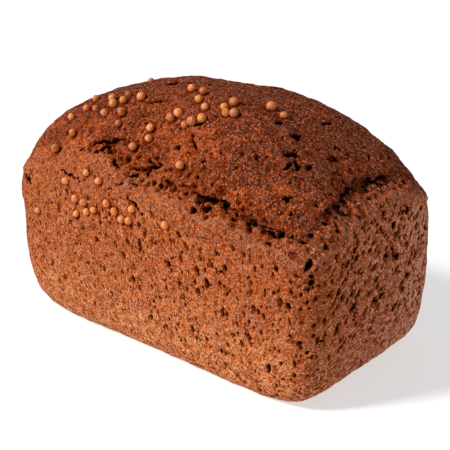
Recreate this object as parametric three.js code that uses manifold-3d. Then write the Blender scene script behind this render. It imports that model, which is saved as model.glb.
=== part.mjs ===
// A small dark rye tin loaf with coriander seeds baked onto its crust.
// Millimetres, +Z up. The origin is the middle of the flat underside, +X runs along the loaf,
// and the long side with the most seeds faces -Y.

import * as THREE from 'three';
import { mergeVertices } from 'three/addons/utils/BufferGeometryUtils.js';
import Module from 'manifold-3d';

const wasm = await Module();
wasm.setup();

const { degToRad, lerp, mapLinear, radToDeg, smoothstep } = THREE.MathUtils;
const fullTurn = 360;

// The row of numbers that chance is drawn from.
const drawFactor = 1664525;
const drawStep = 1013904223;
const drawRange = 2 ** 32;

// The tin gave the loaf its lower half, up to the rim. The dough rose above it into a crown.
const halfLength = 75;
const halfWidth = 39.9;
const rimHeight = 57.3;
const crownRise = 38.9;

// Powers of the superellipses: 2 is round, and the larger the squarer.
const wallPlanPower = 10;
const crownPlanPower = 5.3;
const planBlend = 9; // the two plans blend over this height on either side of the rim
const footPower = { middle: 6.9, east: 1.5, north: -0.6 };
const crownPower = { middle: 1.89, east: -0.21, north: 0.25 };
const topPower = 2.1; // over the highest part of the crown, on all sides
const topShare = { from: 0.45, to: 0.85 }; // of a ray's steepness, where that power sets in
const footDepth = 60; // of the whole lower form, which the flat underside cuts at rimHeight

// How the baked loaf departs from its tin.
const crownLean = -2.2; // the highest point lies a little to the left of the middle
const footTaper = 0.01; // the tin narrows towards its bottom
const eastBelly = 1;
const frontHollow = 1;
const hollowStart = 0.2; // of the way down from the rim

// Long, low swells over the whole crust.
const swellCount = 6;
const swellLengths = { shortest: 22, longest: 50 };
const swellHeight = 0.16;
const swellSeed = 5;

// Where the crown tore away from the rim, from the back left corner round by the front:
// compass angle in plan, height of the tear, its depth, and the foot of the smooth band
// that the dough drew over the rim.
const tearPath = [
  { angle: -180, tear: 70, depth: 3.2, foot: 63 },
  { angle: -155, tear: 66, depth: 2, foot: 60 },
  { angle: -137, tear: 66, depth: 1, foot: 58 },
  { angle: -124, tear: 71, depth: 0.5, foot: 61 },
  { angle: -112, tear: 73, depth: 1.4, foot: 57 },
  { angle: -103, tear: 72, depth: 1.6, foot: 55 },
  { angle: -96, tear: 69.5, depth: 2.2, foot: 59 },
  { angle: -90, tear: 71, depth: 2.6, foot: 59 },
  { angle: -86, tear: 73.3, depth: 2.4, foot: 57 },
  { angle: -80, tear: 71.5, depth: 1.8, foot: 55 },
  { angle: -75, tear: 69, depth: 2, foot: 54.5 },
  { angle: -68, tear: 67, depth: 3, foot: 53.5 },
  { angle: -63, tear: 67.2, depth: 3, foot: 53.5 },
  { angle: -57, tear: 64, depth: 2.8, foot: 51 },
  { angle: -50, tear: 61.3, depth: 2.6, foot: 50 },
  { angle: -44.5, tear: 59, depth: 2.2, foot: 48 },
  { angle: -40, tear: 62, depth: 2.4, foot: 50 },
  { angle: -36, tear: 64.8, depth: 2.8, foot: 53 },
  { angle: -28, tear: 67, depth: 3.4, foot: 56.5 },
  { angle: -16, tear: 70, depth: 4, foot: 59 },
  { angle: -6, tear: 71, depth: 4, foot: 61 },
  { angle: 6, tear: 71.3, depth: 4, foot: 62 },
  { angle: 18, tear: 70.4, depth: 4, foot: 61.5 },
  { angle: 26, tear: 69.6, depth: 2.6, foot: 60 },
  { angle: 33, tear: 66, depth: 1.8, foot: 58 },
  { angle: 45, tear: 62, depth: 1.2, foot: 56 },
  { angle: 68, tear: 66, depth: 2.6, foot: 59 },
  { angle: 92, tear: 63.5, depth: 3, foot: 56 },
  { angle: 116, tear: 69, depth: 2, foot: 61 },
  { angle: 136, tear: 63, depth: 1.4, foot: 57 },
  { angle: 160, tear: 68, depth: 2.8, foot: 61 },
  { angle: 180, tear: 70, depth: 3.2, foot: 63 },
];
const gashHalfWidth = 1.7;
const tornReach = 7; // the torn crumb below the gash slopes back out over this height
const tornShare = 0.4; // of the gash's depth
const lipBulge = 0.9;
const lipReach = 5;
const lipDroop = 1.1;
const fullLipDepth = 2; // the lip is smaller where the gash is shallower than this
const bandBulge = 0.8;
const bandEdge = 2;
const reliefFade = 9; // relief dies away over this height above the underside

// Facets. The rows round the loaf follow the tear, and lie closest on either side of it.
const stepsLong = 34;
const stepsWide = 18;
const rows = { wall: 9, band: 8, crown: 4 };
const bandHalfHeight = 9;
const blockTop = 46; // of the block that is drawn out to the loaf, above the rim

// Coriander seeds. Each sprinkle is a small ring of seeds: x along the loaf, the roll from the
// top of the loaf towards its front in degrees, how many seeds, the ring's radius, and how far
// it is turned in degrees.
const seedRadius = { smallest: 1.3, largest: 1.8 };
const seedProud = { crown: 0.5, wall: 0.1 }; // of the radius, from the crust to the seed's centre
const wallRoll = 76; // seeds rolled further than this lie on the wall
const seedDrawSeed = 11;
const sprinkles = [
  { x: -48, roll: 49, count: 1, spread: 0, turn: 0 },
  { x: -39, roll: 41, count: 2, spread: 2.6, turn: 175 },
  { x: -41, roll: 34, count: 1, spread: 0, turn: 0 },
  { x: -29.5, roll: 44, count: 1, spread: 0, turn: 0 },
  { x: -29, roll: 35, count: 2, spread: 1.7, turn: 55 },
  { x: -21, roll: 42, count: 1, spread: 0, turn: 0 },
  { x: -24, roll: 31, count: 2, spread: 1.7, turn: 85 },
  { x: -17, roll: 29, count: 1, spread: 0, turn: 0 },
  { x: -26.5, roll: 7, count: 1, spread: 0, turn: 0 },
  { x: -19.5, roll: 49, count: 1, spread: 0, turn: 0 },
  { x: -40.5, roll: 59, count: 1, spread: 0, turn: 0 },
  { x: -47, roll: 70, count: 1, spread: 0, turn: 0 },
  { x: -3.5, roll: 50, count: 2, spread: 2.1, turn: 70 },
  { x: -7.5, roll: 59, count: 1, spread: 0, turn: 0 },
  { x: 4, roll: 38, count: 2, spread: 1.4, turn: 120 },
  { x: 2.5, roll: 18, count: 1, spread: 0, turn: 0 },
  { x: 9.5, roll: 23, count: 2, spread: 2.2, turn: 73 },
  { x: 16, roll: 34, count: 2, spread: 2.3, turn: 65 },
  { x: 12, roll: 41, count: 2, spread: 1.4, turn: 155 },
  { x: 17, roll: 64, count: 1, spread: 0, turn: 0 },
  { x: 24, roll: 26, count: 2, spread: 3.4, turn: 80 },
  { x: 25, roll: 28, count: 2, spread: 2.8, turn: 15 },
  { x: 33, roll: 10, count: 1, spread: 0, turn: 0 },
  { x: 38, roll: 10, count: 1, spread: 0, turn: 0 },
  { x: -26, roll: 79, count: 1, spread: 0, turn: 0 },
  { x: -19, roll: 82, count: 1, spread: 0, turn: 0 },
  { x: -37.5, roll: 86, count: 1, spread: 0, turn: 0 },
  { x: -30.5, roll: 95, count: 2, spread: 2.6, turn: 5 },
  { x: -33, roll: 103, count: 1, spread: 0, turn: 0 },
  { x: -24.5, roll: 99, count: 2, spread: 2.2, turn: 165 },
  { x: -13, roll: 94, count: 2, spread: 1.9, turn: 35 },
  { x: -6, roll: 99, count: 2, spread: 1.8, turn: 0 },
  { x: -2.5, roll: 92, count: 1, spread: 0, turn: 0 },
  { x: 14.5, roll: 95, count: 1, spread: 0, turn: 0 },
  { x: -57.5, roll: 108, count: 1, spread: 0, turn: 0 },
  { x: -34, roll: -42, count: 3, spread: 3.6, turn: 40 },
  { x: -13, roll: -48, count: 4, spread: 4, turn: 10 },
  { x: 9, roll: -43, count: 3, spread: 3.4, turn: 75 },
  { x: 25, roll: -57, count: 2, spread: 2.4, turn: 20 },
  { x: -46, roll: -58, count: 2, spread: 3, turn: 130 },
  { x: -3, roll: -72, count: 2, spread: 3, turn: 60 },
];

// Draws numbers between low and high, always the same ones for the same seed.
function makeDraw(seed) {
  let state = seed;
  return function draw(low, high) {
    state = (Math.imul(state, drawFactor) + drawStep) >>> 0;
    return low + (high - low) * state / drawRange;
  };
}

// A power that differs a little between the loaf's sides. East is +X and north is +Y.
function leaning(power, east, north) {
  return power.middle + power.east * east + power.north * north;
}

// Where a ray from the middle of the rim plane leaves the smooth loaf.
// The result is measured from that plane.
function onSmoothLoaf(ray) {
  const along = ray.x / halfLength;
  const across = ray.y / halfWidth;
  const reach = Math.hypot(along, across) || 1;
  const east = along / reach;
  const north = across / reach;
  const crownShare = smoothstep(ray.z, -planBlend, planBlend);
  const planPower = lerp(wallPlanPower, crownPlanPower, crownShare);
  const plan = (Math.abs(along) ** planPower + Math.abs(across) ** planPower) ** (1 / planPower);
  const isCrown = ray.z > 0;
  const rise = Math.abs(ray.z) / (isCrown ? crownRise : footDepth);
  const steep = isCrown ? smoothstep(rise / (rise + plan), topShare.from, topShare.to) : 0;
  const sidePower = leaning(isCrown ? crownPower : footPower, east, north);
  const power = lerp(sidePower, topPower, steep);
  const scale = (plan ** power + rise ** power) ** (-1 / power);
  const point = ray.clone().multiplyScalar(scale);
  point.z = Math.max(point.z, -rimHeight);

  const height = Math.max(point.z, 0) / crownRise;
  const depth = Math.max(-point.z, 0) / rimHeight;
  const midLength = Math.cos(point.x / halfLength * Math.PI / 2) ** 2;
  point.x *= 1 - footTaper * depth;
  point.x += crownLean * height;
  point.x += eastBelly * Math.max(east, 0) ** 2 * Math.sin(Math.PI * depth);
  point.y += frontHollow * Math.max(-north, 0) ** 2 * midLength * smoothstep(depth, hollowStart, 1);
  return point;
}

// The value of one column of the tear's path at a compass angle.
function alongTear(column, angle) {
  let value = tearPath[0][column];
  for (let i = 1; i < tearPath.length; i += 1) {
    const before = tearPath[i - 1];
    const after = tearPath[i];
    value += (after[column] - before[column]) * smoothstep(angle, before.angle, after.angle);
  }
  return value;
}

function makeSwells() {
  const draw = makeDraw(swellSeed);
  const swells = [];
  for (let i = 0; i < swellCount; i += 1) {
    const wave = new THREE.Vector3(draw(-1, 1), draw(-1, 1), draw(-1, 1)).normalize();
    wave.multiplyScalar(2 * Math.PI / draw(swellLengths.shortest, swellLengths.longest));
    swells.push({ wave, phase: draw(0, 2 * Math.PI) });
  }
  return swells;
}

// How much of the crown's lip there is at a height above the tear: 1 at a deep gash, 0 far up.
function lipShare(aboveTear, depth) {
  return Math.exp(-((aboveTear / lipReach) ** 2)) * Math.min(depth / fullLipDepth, 1);
}

// How far the crust stands out at a point of the smooth loaf, above the underside.
function crustRelief(point, angle, swells) {
  const aboveTear = point.z - alongTear('tear', angle);
  const depth = alongTear('depth', angle);
  const foot = alongTear('foot', angle);
  let relief = 0;
  for (const { wave, phase } of swells) {
    relief += swellHeight * Math.sin(wave.dot(point) + phase);
  }
  relief -= depth * Math.exp(-(((aboveTear + gashHalfWidth) / gashHalfWidth) ** 2));
  if (aboveTear > 0) {
    relief += lipBulge * lipShare(aboveTear, depth);
  } else {
    relief -= tornShare * depth * smoothstep(aboveTear, -tornReach, 0);
    relief += bandBulge * smoothstep(point.z, foot - bandEdge, foot + bandEdge);
  }
  return relief * smoothstep(point.z, 0, reliefFade);
}

// The height on the block's side whose ray leaves the smooth loaf at a given level.
function levelOnBlock(level) {
  if (level <= 0) {
    return level;
  }
  const share = level / crownRise;
  return level / (1 - share ** crownPower.middle) ** (1 / crownPower.middle);
}

// The height on the block of one of its rows, counted from the underside, at a compass angle.
function rowLevel(row, angle) {
  const tear = alongTear('tear', angle) - rimHeight;
  const bandBottom = tear - bandHalfHeight;
  const bandTop = tear + bandHalfHeight;
  const rowsToBand = rows.wall + rows.band;
  if (row <= rows.wall) {
    return mapLinear(row, 0, rows.wall, -rimHeight, levelOnBlock(bandBottom));
  }
  if (row <= rowsToBand) {
    return levelOnBlock(mapLinear(row, rows.wall, rowsToBand, bandBottom, bandTop));
  }
  return mapLinear(row - rowsToBand, 0, rows.crown, levelOnBlock(bandTop), blockTop);
}

function compassAngle(point) {
  return radToDeg(Math.atan2(point.y / halfWidth, point.x / halfLength));
}

// A block whose faces are split into a grid, with its rows at the levels above.
function makeGridBlock() {
  const stepsHigh = rows.wall + rows.band + rows.crown;
  const block = new THREE.BoxGeometry(
    2 * halfLength, 2 * halfWidth, stepsHigh, stepsLong, stepsWide, stepsHigh,
  );
  block.deleteAttribute('normal');
  block.deleteAttribute('uv');
  const places = block.getAttribute('position');
  for (let i = 0; i < places.count; i += 1) {
    const row = Math.round(places.getZ(i) + stepsHigh / 2);
    const point = new THREE.Vector3().fromBufferAttribute(places, i);
    places.setZ(i, rowLevel(row, compassAngle(point)));
  }
  return mergeVertices(block);
}

// The bare loaf: the gridded block drawn out to the smooth loaf, then given its relief.
function makeLoafGeometry() {
  const geometry = makeGridBlock();
  const places = geometry.getAttribute('position');
  const angles = [];
  for (let i = 0; i < places.count; i += 1) {
    const point = onSmoothLoaf(new THREE.Vector3().fromBufferAttribute(places, i));
    angles.push(compassAngle(point));
    places.setXYZ(i, point.x, point.y, point.z + rimHeight);
  }
  geometry.computeVertexNormals();

  const normals = geometry.getAttribute('normal');
  const swells = makeSwells();
  const moved = [];
  for (let i = 0; i < places.count; i += 1) {
    const point = new THREE.Vector3().fromBufferAttribute(places, i);
    const normal = new THREE.Vector3().fromBufferAttribute(normals, i);
    const aboveTear = point.z - alongTear('tear', angles[i]);
    const relief = crustRelief(point, angles[i], swells);
    if (aboveTear > 0) {
      point.z -= lipDroop * lipShare(aboveTear, alongTear('depth', angles[i]));
    }
    moved.push(point.addScaledVector(normal, relief));
  }
  moved.forEach((point, i) => places.setXYZ(i, point.x, point.y, Math.max(point.z, 0)));
  geometry.deleteAttribute('normal');
  return geometry;
}

// Where a ray from outside meets the bare loaf, at x along it and rolled from its top.
function findOnCrust(crust, x, roll) {
  const out = new THREE.Vector3(0, -Math.sin(degToRad(roll)), Math.cos(degToRad(roll)));
  const middle = new THREE.Vector3(x, 0, rimHeight);
  const start = middle.clone().addScaledVector(out, 2 * halfLength);
  const ray = new THREE.Raycaster(start, out.clone().negate());
  const [hit] = ray.intersectObject(crust);
  return { point: hit.point, normal: hit.face.normal };
}

// The seeds, each a small low ball sunk into the crust.
function makeSeedGeometries(crust) {
  const draw = makeDraw(seedDrawSeed);
  const seeds = [];
  for (const { x, roll, count, spread, turn } of sprinkles) {
    for (let i = 0; i < count; i += 1) {
      const angle = degToRad(turn + fullTurn * i / count);
      const radius = draw(seedRadius.smallest, seedRadius.largest);
      const seedRoll = roll + radToDeg(spread * Math.sin(angle) / crownRise);
      const { point, normal } = findOnCrust(crust, x + spread * Math.cos(angle), seedRoll);
      const proud = seedRoll > wallRoll ? seedProud.wall : seedProud.crown;
      const ball = new THREE.IcosahedronGeometry(radius);
      ball.rotateX(draw(0, Math.PI));
      ball.rotateZ(draw(0, Math.PI));
      const centre = point.clone().addScaledVector(normal, radius * proud);
      ball.translate(centre.x, centre.y, centre.z);
      seeds.push(ball);
    }
  }
  return seeds;
}

// A closed geometry as a solid, and a solid back as a geometry.
function toSolid(geometry) {
  geometry.deleteAttribute('normal');
  geometry.deleteAttribute('uv');
  const merged = mergeVertices(geometry);
  return new wasm.Manifold(new wasm.Mesh({
    numProp: 3,
    vertProperties: new Float32Array(merged.getAttribute('position').array),
    triVerts: new Uint32Array(merged.index.array),
  }));
}

function toGeometry(solid) {
  const mesh = solid.getMesh();
  const geometry = new THREE.BufferGeometry();
  geometry.setAttribute('position', new THREE.BufferAttribute(mesh.vertProperties, mesh.numProp));
  geometry.setIndex(new THREE.BufferAttribute(mesh.triVerts, 1));
  geometry.computeVertexNormals();
  return geometry;
}

function makeLoaf() {
  const bare = makeLoafGeometry();
  const crustMaterial = new THREE.MeshStandardMaterial({
    color: 0x7a4028,
    roughness: 0.85,
    metalness: 0,
  });
  const seeds = makeSeedGeometries(new THREE.Mesh(bare, crustMaterial));
  const solid = seeds.reduce((joined, seed) => joined.add(toSolid(seed)), toSolid(bare));
  const loaf = new THREE.Mesh(toGeometry(solid), crustMaterial);
  loaf.name = 'loaf';
  return loaf;
}

const group = new THREE.Group();
group.add(makeLoaf());

export default group;
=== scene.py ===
import math
import bpy
from mathutils import Matrix, Vector
from mathutils.bvhtree import BVHTree


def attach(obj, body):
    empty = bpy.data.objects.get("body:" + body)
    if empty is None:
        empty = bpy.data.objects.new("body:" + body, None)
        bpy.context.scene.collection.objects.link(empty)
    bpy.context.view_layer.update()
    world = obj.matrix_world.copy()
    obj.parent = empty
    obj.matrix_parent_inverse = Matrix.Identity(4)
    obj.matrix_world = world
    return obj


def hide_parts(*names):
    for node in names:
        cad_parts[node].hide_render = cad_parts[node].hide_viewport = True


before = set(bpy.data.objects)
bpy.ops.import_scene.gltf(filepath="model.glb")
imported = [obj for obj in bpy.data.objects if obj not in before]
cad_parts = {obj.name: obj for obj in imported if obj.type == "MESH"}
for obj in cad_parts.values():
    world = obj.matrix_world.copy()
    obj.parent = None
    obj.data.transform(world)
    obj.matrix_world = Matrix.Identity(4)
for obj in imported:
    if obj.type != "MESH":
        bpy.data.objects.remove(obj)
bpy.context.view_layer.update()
mm = 0.001


# a value of a node tree, written into sums like a number
class Field:
    def __init__(self, tree, socket):
        self.tree = tree
        self.socket = socket

    def calculate(self, operation, *others):
        values = dict(enumerate((self, *others)))
        return addNode(self.tree, "ShaderNodeMath", values, operation=operation)

    def __add__(self, other):
        return self.calculate("ADD", other)

    def __sub__(self, other):
        return self.calculate("SUBTRACT", other)

    def __mul__(self, other):
        return self.calculate("MULTIPLY", other)

    def __truediv__(self, other):
        return self.calculate("DIVIDE", other)

    def __pow__(self, other):
        return self.calculate("POWER", other)

    def __neg__(self):
        return self * -1

    def __rsub__(self, other):
        return -self + other

    __radd__ = __add__
    __rmul__ = __mul__

    def __abs__(self):
        return self.calculate("ABSOLUTE")

    def sine(self):
        return self.calculate("SINE")

    def cosine(self):
        return self.calculate("COSINE")

    def atLeast(self, low):
        return self.calculate("MAXIMUM", low)

    def atMost(self, high):
        return self.calculate("MINIMUM", high)

    def ramp(self, low, high, fromValue=0.0, toValue=1.0):
        # a smooth step from one value to another as this goes from low to high
        values = {0: self, 1: low, 2: high, 3: fromValue, 4: toValue}
        return addNode(self.tree, "ShaderNodeMapRange", values, interpolation_type="SMOOTHSTEP")

    def fall(self, low, high):
        return self.ramp(low, high, 1.0, 0.0)

    def between(self, first, second):
        # the first value where this is 0, the second where it is 1
        return self * (second - first) + first

    def bell(self, halfWidth):
        # 1 at 0, fading to nothing on both sides
        return addNode(self.tree, "ShaderNodeMath", {0: -((self / halfWidth) ** 2)},
                       operation="EXPONENT")


def plug(tree, value, socket):
    if isinstance(value, Field):
        tree.links.new(value.socket, socket)
    else:
        socket.default_value = value


def addNode(tree, kind, values, output=0, **settings):
    node = tree.nodes.new(kind)
    for name, setting in settings.items():
        setattr(node, name, setting)
    for place, value in values.items():
        plug(tree, value, node.inputs[place])
    return Field(tree, node.outputs[output])


def splitVector(vector):
    node = vector.tree.nodes.new("ShaderNodeSeparateXYZ")
    plug(vector.tree, vector, node.inputs[0])
    return [Field(vector.tree, output) for output in node.outputs]


def joinVector(tree, x, y, z):
    return addNode(tree, "ShaderNodeCombineXYZ", {0: x, 1: y, 2: z})


def vectorMath(tree, operation, *values, output=0):
    return addNode(tree, "ShaderNodeVectorMath", dict(enumerate(values)), output,
                   operation=operation)


def scaleVector(vector, scale):
    return addNode(vector.tree, "ShaderNodeVectorMath", {0: vector, "Scale": scale},
                   operation="SCALE")


def weighed(fields, weights):
    # the sum of some of the named fields, each by its own weight
    return sum(fields[name] * weight for name, weight in weights.items())


def textureNode(place, kind, size):
    node = place.tree.nodes.new(kind)
    plug(place.tree, place, node.inputs["Vector"])
    node.inputs["Scale"].default_value = 1 / size
    return node


def lumps(place, size, detail=2.0, roughness=0.5):
    # soft noise from about -1 to 1, its lumps about as wide as size
    node = textureNode(place, "ShaderNodeTexNoise", size)
    node.inputs["Detail"].default_value = detail
    node.inputs["Roughness"].default_value = roughness
    return Field(place.tree, node.outputs[0]) * 2 - 1


def wobble(place, *pushes):
    # the place itself, pushed about so that round things turn ragged: size and reach of each push
    for size, reach in pushes:
        node = textureNode(place, "ShaderNodeTexNoise", size)
        node.inputs["Detail"].default_value = 1.0
        colour = Field(place.tree, node.outputs["Color"])
        centred = vectorMath(place.tree, "SUBTRACT", colour, (0.5, 0.5, 0.5))
        place = vectorMath(place.tree, "ADD", place, scaleVector(centred, 2 * reach))
    return place


cellForm = {
    "soft": 0.7,              # share of a hole's radius that is fully open, unless one is given
    "growth": 0.4,            # power by which a cell's luck widens its hole
    "rim": 0.001,             # least breadth of a hole's rim, in cells
    "bulge": (0.1, 0.85),     # from the top of a grain to the groove round it, in cells
}


def pores(place, size, radius, share, soft=cellForm["soft"]):
    # how open the crust is, 0 to 1: round holes in a share of cells as wide as size,
    # each of its own radius, which is given in cells
    node = textureNode(place, "ShaderNodeTexVoronoi", size)
    distance = Field(place.tree, node.outputs["Distance"])
    luck = splitVector(Field(place.tree, node.outputs["Color"]))[0]
    opening = ((luck - (1 - share)) / share).atLeast(0.0)    # 0 in a closed cell
    reach = (opening ** cellForm["growth"]) * radius
    return distance.fall(reach * soft, reach + cellForm["rim"])


def granules(place, size):
    # rounded grains about as wide as size: 1 in the middle of each, 0 in the grooves between,
    # and two numbers of its own for each grain
    node = textureNode(place, "ShaderNodeTexVoronoi", size)
    bulge = Field(place.tree, node.outputs["Distance"]).fall(*cellForm["bulge"])
    luck, otherLuck = splitVector(Field(place.tree, node.outputs["Color"]))[:2]
    return bulge, luck, otherLuck


# the loaf's form, as in the part's own source
loafForm = {
    "halfLength": 75 * mm,
    "halfWidth": 39.9 * mm,
    "rimHeight": 57.3 * mm,
    "crownRise": 38.9 * mm,
    "footDepth": 60 * mm,
    "blockTop": 46 * mm,
    "wallPlanPower": 10,
    "crownPlanPower": 5.3,
    "planBlend": 9 * mm,
    "footPower": (6.9, 1.5, -0.6),      # in the middle, more to the east, more to the north
    "crownPower": (1.89, -0.21, 0.25),
    "topPower": 2.1,
    "topShare": (0.45, 0.85),
    "crownLean": -2.2 * mm,
    "footTaper": 0.01,
    "eastBelly": 1 * mm,
    "frontHollow": 1 * mm,
    "hollowDepth": (0.2, 1),            # where it sets in, in shares of the way down the wall
    "swellCount": 6,
    "swellLengths": (22 * mm, 50 * mm),
    "swellHeight": 0.16 * mm,
    "swellSeed": 5,
    "latticeStep": 0.42 * mm,           # of the dense block that is drawn out to the loaf
    "triangles": 194000,                # what the finished crust is thinned to
}

# the tear between rim and crown: compass angle, height of the crown's edge, depth, foot of the
# band below it, and how wide the torn crumb gapes
tearPath = [
    (-180, 70, 3.2, 63, 6.5),
    (-155, 66, 2, 60, 4.5),
    (-137, 66, 1, 58, 2.5),
    (-124, 71, 0.5, 61, 1.6),
    (-112, 73, 1.4, 57, 2.4),
    (-103, 72, 1.6, 55, 2.6),
    (-96, 69.5, 2.2, 59, 4),
    (-90, 71, 2.6, 59, 7),
    (-86, 73.3, 2.4, 57, 9.6),
    (-80, 71.5, 1.8, 55, 8.3),
    (-75, 69, 2, 54.5, 8),
    (-68, 67, 3, 53.5, 8.6),
    (-63, 67.2, 3, 53.5, 8.2),
    (-57, 64, 2.8, 51, 8.5),
    (-50, 61.3, 2.6, 50, 6.8),
    (-44.5, 59, 2.2, 48, 6),
    (-40, 62, 2.4, 50, 6.6),
    (-36, 64.8, 2.8, 53, 7.4),
    (-28, 67, 3.4, 56.5, 6.4),
    (-16, 70, 4, 59, 6),
    (-6, 71, 4, 61, 6),
    (6, 71.3, 4, 62, 5.8),
    (18, 70.4, 4, 61.5, 5.4),
    (26, 69.6, 2.6, 60, 5.8),
    (33, 66, 1.8, 58, 4.8),
    (45, 62, 1.2, 56, 3.4),
    (68, 66, 2.6, 59, 5.5),
    (92, 63.5, 3, 56, 7.5),
    (116, 69, 2, 61, 5.5),
    (136, 63, 1.4, 57, 3),
    (160, 68, 2.8, 61, 6),
    (180, 70, 3.2, 63, 6.5),
]
tearColumns = {"tear": 1, "depth": 2, "foot": 3, "gap": 4}
# pointed flakes of the rim that stand up into the gap, and notches where one is missing:
# compass angle, half width in degrees, height in millimetres
flakes = [(-16.8, 1.9, 3.4), (-13.2, 1.5, -5.2), (-58, 1.6, 2.0), (88, 1.8, 2.4), (171, 2.2, 2.6)]
tearForm = {
    "tornReach": 7 * mm,
    "tornShare": 0.3,
    "lipBulge": 0.6 * mm,
    "lipReach": 5 * mm,
    "lipDroop": 1.0 * mm,
    "fullLipDepth": 2 * mm,
    "bandBulge": 0.8 * mm,
    "bandEdge": 0.8 * mm,
    "reliefFade": 9 * mm,
    "undercut": 0.6,                    # share of the depth that comes only under the crown
    "jags": ((11 * mm, 1.4 * mm),       # size of the tear's wander, and how far it goes
             (3.6 * mm, 2.0 * mm),
             (1.6 * mm, 2.2 * mm)),
    "footJag": 0.7,                     # share of it that the foot of the band has too
    "gapJag": (6 * mm, 3.4 * mm),
    "gapShift": (0.5, 0.3, 0.2),        # takes the gap's noise from another place
    "leastGap": 1.0 * mm,
    # along the loaf: where the rim grows calm, and the share of the wander that it loses
    "calmEnd": (60 * mm, 70 * mm, 0.0, 0.94),
    "endGap": 2.0 * mm,                 # how much wider the gap is there
    "endFill": 0.4,                     # share of the gap that crumb fills there
    "slope": (0.8 * mm, 2.4 * mm),      # breadth of the gap's lower side, in front and at the ends
}

# holes that stand out: half width and depth, then where, in millimetres
holes = [
    (0.7, 1.2, (-33, -35.5, 72)), (0.6, 1.2, (-28.5, -35, 72.3)), (0.7, 1.0, (-8.4, -38.7, 63.7)),
    (0.8, 1.4, (6.5, -33.7, 73.3)), (1.0, 0.8, (1.9, -36, 69.5)), (1.2, 2.6, (10.7, -37.6, 66)),
    (0.9, 1.6, (12.5, -36.6, 68.2)), (0.6, 1.2, (22, -37.8, 65.4)), (1.3, 2.8, (26.6, -39.3, 60.7)),
    (1.2, 2.4, (32, -38.9, 62.1)), (0.9, 2.2, (38, -37.7, 64.6)), (0.8, 1.8, (43, -38.7, 61.2)),
    (0.8, 1.8, (48.6, -38.5, 60.6)), (0.9, 1.8, (51.3, -37.9, 61.4)), (0.7, 1.4, (65, -35, 59)),
    (0.9, 1.6, (68, -33.5, 57.4)), (0.9, 1.0, (61.2, -39.4, 48.7)),
    (0.7, 1.2, (39, -39.9, 42.4)), (0.8, 1.4, (2.1, -39.9, 54.6)), (0.9, 1.5, (25, -31.4, 75.7)),
    (0.7, 1.4, (25.5, -34.5, 71.4)), (0.9, 1.0, (12, -29.8, 78.2)), (0.5, 1.0, (45, -33, 71.7)),
    (0.8, 1.6, (62.2, -32.4, 65.7)), (0.8, 1.8, (61.7, -8.4, 74)), (0.8, 1.8, (63.1, -7.1, 73.1)),
    (0.8, 1.8, (66.5, -25.1, 67.5)), (0.9, 1.8, (70.9, -25.8, 62.6)),
    (0.9, 1.8, (72.6, -22.9, 61.3)), (0.8, 1.6, (73.3, -23.8, 59.7)),
    (1.2, 2.8, (69.3, -16.8, 66.6)), (1.3, 3.0, (67.9, -9.7, 68.6)), (1.2, 2.6, (69.7, 8.8, 68)),
    (0.9, 2.2, (70.6, 11.1, 67)), (0.9, 1.8, (71.3, 20.4, 65.9)), (0.9, 1.8, (69.3, -31.8, 59.4)),
    (1.0, 2.2, (74.5, -30.6, 56.7)), (0.9, 1.6, (72.3, -35.4, 48)), (1.6, 2.2, (74.9, 15.7, 57.3)),
    (0.7, 1.2, (74.2, 1.5, 60.3)), (1.5, 1.3, (75, 7, 54.3)), (1.1, 2.0, (74.9, 14.8, 47.9)),
    (1.4, 1.4, (74.8, 10.3, 42.4)), (1.0, 1.8, (74.9, -2.9, 48.5)), (0.9, 1.6, (74.8, 4.3, 44)),
    (0.9, 1.4, (74.9, -16.3, 49.2)), (0.8, 1.3, (74.8, -25.6, 50.9)),
    (0.8, 2.0, (73.6, -12.3, 61.1)), (1.1, 1.6, (72.8, -20.1, 8.8)),
]

# long holes of the crown, then cracks: half width and depth, and the points they run through,
# in millimetres
gashes = [
    (1.5, 2.4, [(46, -9.7, 83.1), (46.3, -6.6, 83.2)]),
    (1.6, 3.0, [(50.2, -18.4, 79.9), (52.4, -14.2, 79.5)]),
    (1.1, 2.4, [(53.6, -24, 76.6), (53.4, -20.4, 77.8)]),
    (1.1, 2.4, [(53.6, -18.8, 78.1), (55.8, -19.8, 76.6)]),
    (0.9, 2.0, [(57.8, -17.5, 75.8), (57.2, -15.4, 76.5)]),
    (1.2, 2.6, [(58.4, -31.4, 69.1), (60, -29.8, 69.6)]),
    (1.0, 2.4, [(71.2, -36.7, 50.8), (72.1, -36, 52.6)]),
    (0.9, 2.2, [(-17.5, -31.6, 77.3), (-14, -30.7, 78.3)]),
    (1.1, 2.2, [(2.2, -34.8, 71.8), (5, -34.6, 71.9)]),
    (1.1, 2.2, [(-15.2, -36, 70.4), (-12.5, -36.4, 69.4)]),
    (1.1, 1.6, [(39.5, -10.7, 85.9), (39.7, -7.7, 86)]),
    (1.2, 1.4, [(46.5, 6.1, 84.5), (47.1, 9.4, 84.6)]),
    (1.2, 1.6, [(55.3, 0.5, 79.1), (55.5, 2.3, 79.2)]),
    (1.1, 1.4, [(57.6, -5.4, 77), (58, -1.9, 77.1)]),
    (1.5, 2.2, [(-13.5, -9.5, 94.7), (-9.5, -7.5, 95.3)]),
    (1.4, 1.8, [(-52, 22, 78.5), (-50, 25, 78)]),
    (1.2, 1.8, [(8, 31, 82), (11.5, 31.5, 81.5)]),
]
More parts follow.
